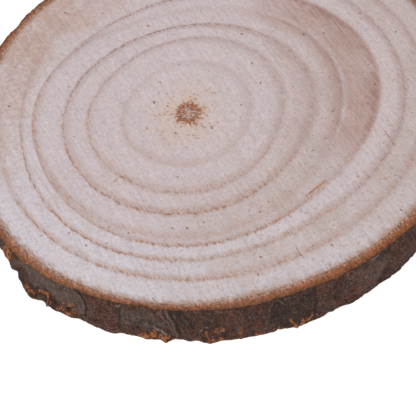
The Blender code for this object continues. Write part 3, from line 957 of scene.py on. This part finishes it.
def makeBark(look):
    wall, inner, thick = stem["barkThickness"], stem["woodRadius"], stem["thickness"]
    piece = spunSection("barkRing", inner, inner + wall, thick, look)
    radius, angle, height = polarOf(piece)
    share = np.clip((radius - inner) / wall, 0, 1)
    edge = woodEdge(angle)
    places = onStem(angle, height)
    masks, proud = markMasks(look, angle, height, edge)
    smooth = 1 - 0.7 * masks["grey"]
    # loose flakes that lie a step above their neighbours, and fibres along the stem
    warped = places + 0.6 * np.stack([noiseAt(places, 1.8, shift) for shift in (1.0, 5.0, 9.0)], 1)
    near, second, own = cellsAt(warped, np.array([1, 1, 1.1]) * look["flakeWidth"], 4.0)
    flakes = look["flakeStep"] * (own - 0.5) - look["flakeGap"] * hump(second - near, 0.08)
    long, short = noiseAt(places * [1, 1, 0.2], 0.7, 2.0), noiseAt(places * [1, 1, 0.4], 0.4, 6.0)
    fibres = look["fibreDepth"] * (long + 0.6 * short)
    rough = look["roughDepth"] * roughAt(places, 1.0, 3, 11.0)
    crown = smoothStep(thick - look["crownHeight"], thick, height)
    foot = smoothStep(look["footHeight"], 0.0, height)
    detail = smooth * (flakes + fibres + rough) * (1 - 0.5 * foot)
    for trimAngle, halfWidth, out in look["footTrims"]:
        detail += out * hump(angleApart(angle, trimAngle), halfWidth) * taper(height, look["trimHeight"])
    for breakAngle, halfWidth, high, deep in look["breaks"]:
        along = np.abs(alongEdge(angle, breakAngle, edge))
        broken = deep * smoothStep(halfWidth * 1.3, halfWidth * 0.8, along)
        detail -= broken * smoothStep(high, high * 0.75, height)
    # chips along the edges
    flat = places * [1, 1, 0]
    crownChip = smoothStep(look["chipHeight"], 0.0, thick - height) * look["crownChip"]
    crownChip = crownChip * (0.5 + np.maximum(0, noiseAt(flat, 1.3, 21.0)))
    footChip = foot * look["footChip"] * (0.6 + 1.5 * np.maximum(0, noiseAt(flat, 1.5, 31.0)))
    follows = 1 - (1 - look["crownFollows"]) * crown
    relief = follows * (solidRelief(look, angle, height, edge) + detail + proud) - crownChip - footChip
    depth = np.maximum(look["least"], barkDepth(angle, height) + relief)
    # the sawn ends of the bark: torn, and a little lower than the solid's faces
    ends = look["endsRough"] * roughAt(places + share[:, None] * 5, 0.7, 3, 41.0) + look["endsBelow"]
    ends = ends + look["endsWorn"] * smoothStep(0.75, 1.0, share) * (0.7 + noiseAt(places, 0.9, 51.0))
    ends = np.maximum(ends, look["leastBelow"])
    onFace = tiny / mm
    placed = height - (height > thick - onFace) * ends + (height < onFace) * ends
    putPoints(piece, edge + share * depth, angle, placed)
    bpy.ops.object.shade_smooth_by_angle(angle=math.radians(65))
    # what the finish reads
    keepValues(piece, "skin", share)
    keepValues(piece, "outside", (share > 0.985).astype(float))
    keepValues(piece, "warm", hump(angleApart(angle, look["warmAt"]), look["warmHalfWidth"]))
    # painted shade: the bark darkens where its relief is sunk, in gaps between flakes, in breaks and in
    # sunk marks
    keepValues(piece, "cleft", smoothStep(0.02, -0.4, detail + np.minimum(proud, 0)))
    rim = smoothStep(0.75, 0.2, height + 0.6 * noiseAt(places, 1.2, 61.0))
    rim = rim * (0.35 + 0.5 * facing(angle, look["rustyRimAt"], 0.1, 0.9))
    masks["rust"] = np.maximum(masks["rust"], rim)
    for kind, mask in masks.items():
        keepValues(piece, kind, mask)
    return piece


def finishBark(look, sawWay):
    m = Finish("barkSkin", 0.85)
    m.shader.inputs["Specular IOR Level"].default_value = 0.12
    colours = look["colours"]
    skin, outside, grey = m.value("skin"), m.value("outside"), m.value("grey")
    blotch = m.patches(3.0, 4.0, 0.6)
    mottle = m.patches(1.4, 4.0, 0.75, shift=(0.2, 0, 0))
    tint = m.patches(1.0, 4.0, 0.75, shift=(0, 0.2, 0))
    grain = m.patches(0.36, 3.0, 0.75)
    fibre = m.patches(0.5, 3.0, 0.7, stretch=(1, 1, 0.4))
    pit = m.patches(0.5, 2.0, 0.6, shift=(0.4, 0, 0))
    speck = m.patches(0.4, 2.0, 0.6, shift=(0.6, 0, 0))
    scale = m.cells(m.place(0, (1, 1, 1.5)), 1.1)
    stroke = m.strokes(sawWay, width=0.4, length=1.4, roughness=0.65)
    # outer skin: blotches of brown, then the marks drawn on it
    calm = (1.0 - grey * 0.6) * (0.55 + blotch.step(-0.1, 0.1) * 0.6)
    body = m.mix(blotch.step(-0.12, 0.12), colours["brown"], colours["redBrown"])
    for share, most, colour in (
        (tint * 6.0 + 0.1, 0.45, "ruddy"), (mottle * 5.0, 0.4, "greyBrown"), (m.value("red"), 0.6, "red"),
        (grey * (0.9 + tint * 2.5), 1.0, "grey"), (m.value("olive") * (0.7 + mottle * 3.0), 0.8, "olive"),
        (m.value("dark") * (0.75 + mottle * 4.0), 1.0, "dark"),
    ):
        body = m.mix(share.limit() * most, body, colours[colour])
    shade = grain * 5.9 * calm + fibre * 3.1 + mottle * 0.8 - scale.step(0.4, 0.8) * 0.12
    body = m.scaled(body, 2.0 ** shade)
    body = m.mix((speck * 7.0).limit() * 0.3, body, colours["dust"])
    # cracks along wandering lines, and pits
    wander = m.scaled(m.noise(m.place(), 1 / mm / 1.6, 3.0, 0.6, out="Color"), 2.2 * mm)
    bent = m.node("ShaderNodeVectorMath", dict(operation="ADD"), {0: m.place(0, (1, 1, 0.6)), 1: wander})
    crack = m.cells(bent, 2.6, "DISTANCE_TO_EDGE").step(0.05, 0.0) * blotch.step(0.12, -0.12)
    body = m.mix((crack * 0.7 + pit.step(0.07, 0.12) * calm * 0.8).limit(), body, colours["crack"])
    # painted shade in the sunk relief
    body = m.mix(m.value("cleft") * 0.5, body, colours["cleft"])
    body = m.mix(speck.step(0.1, 0.17) * mottle.step(-0.02, 0.07) * 0.65, body, colours["fleck"])
    rusty = m.mix(fibre.step(-0.06, 0.07), colours["darkRust"], colours["rust"])
    body = m.mix((m.value("rust") * (0.85 + fibre * 5.0)).limit(), body, rusty)
    body = m.mix((m.value("pale") * (0.8 + grain * 3.0)).limit(), body, colours["pale"])
    # the sawn band of inner bark
    place = skin + stroke + mottle * 1.2
    band = m.scaled(m.ramp(place, look["band"]), 2.0 ** (grain * 4.5 + stroke * 4.0 + mottle * 1.5))
    band = m.mix(m.value("warm"), band, colours["warm"], "MULTIPLY")
    band = m.mix(pit.step(0.06, 0.12) * 0.65, band, colours["pit"])
    band = m.mix(stroke.step(0.06, 0.16) * (0.8 - place).limit() * 0.5, band, colours["paleFibre"])
    thread = m.strokes(sawWay, width=0.22, length=1.3)
    band = m.mix((skin + thread * 2.4).step(0.06, -0.12) * 0.5, band, colours["hairs"])
    colour = m.mix((outside + mottle * 0.8).step(0.3, 0.8), band, body)
    sawn = (stroke + 0.5) * (1 - outside)
    height = mottle * 0.5 + fibre * 0.5 + grain * 0.6 + sawn * 0.5 - scale * 0.2
    return m.show(Base_Color=colour, Roughness=0.84 + mottle * 0.2, Normal=m.bump(height, 0.18))


barkRing = makeBark(bark)
barkRing.data.materials.append(finishBark(bark, sawnWood["sawWay"]))
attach(barkRing, "root")
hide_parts("bark_ring")
print("bark made:", len(barkRing.data.polygons), "faces")

# studio: a white sweep, soft light all round, and the photograph's camera
studio = dict(
    floorSize=4.0, floorColour=(0.5, 0.5, 0.5), floorGlow=0.8,
    worldStrength=0.72,
    key=(-0.25, -0.35, 0.9), keySize=0.9, keyPower=4.2,
    # the camera: its lens, its tilt, and where its axis meets the sawn face, from the pith
    lens=123.3, sensor=36.0, elevation=50.0, distance=285.2, aimX=4.13, aimY=-26.3,
)


def makeStudio(look):
    deselectAll()
    bpy.ops.mesh.primitive_plane_add(size=look["floorSize"], location=(0, 0, 0))
    floor = bpy.context.object
    floor.name = "floor"
    m = Finish("floorWhite", 0.9)
    m.show(Base_Color=look["floorColour"], Emission_Color=(1, 1, 1), Emission_Strength=look["floorGlow"])
    floor.data.materials.append(m.material)
    world = bpy.context.scene.world or bpy.data.worlds.new("studio")
    bpy.context.scene.world = world
    world.use_nodes = True
    sky = world.node_tree.nodes["Background"]
    sky.inputs["Color"].default_value = (1, 1, 1, 1)
    sky.inputs["Strength"].default_value = look["worldStrength"]
    bpy.ops.object.light_add(type="AREA", location=look["key"])
    key = bpy.context.object
    key.data.size = look["keySize"]
    key.data.energy = look["keyPower"]
    key.rotation_euler = (-key.location).to_track_quat("-Z", "Y").to_euler()
    tilt = math.radians(look["elevation"])
    back = look["distance"] * math.cos(tilt)
    up = stem["thickness"] + look["distance"] * math.sin(tilt)
    bpy.ops.object.camera_add(
        location=(pithX + look["aimX"] * mm, pithY + (look["aimY"] - back) * mm, up * mm),
        rotation=(math.pi / 2 - tilt, 0, 0),
    )
    camera = bpy.context.object
    camera.data.lens = look["lens"]
    camera.data.sensor_width = look["sensor"]
    camera.data.clip_start = 0.01
    bpy.context.scene.camera = camera
    bpy.context.scene.view_settings.view_transform = "Standard"


makeStudio(studio)
print("studio made")
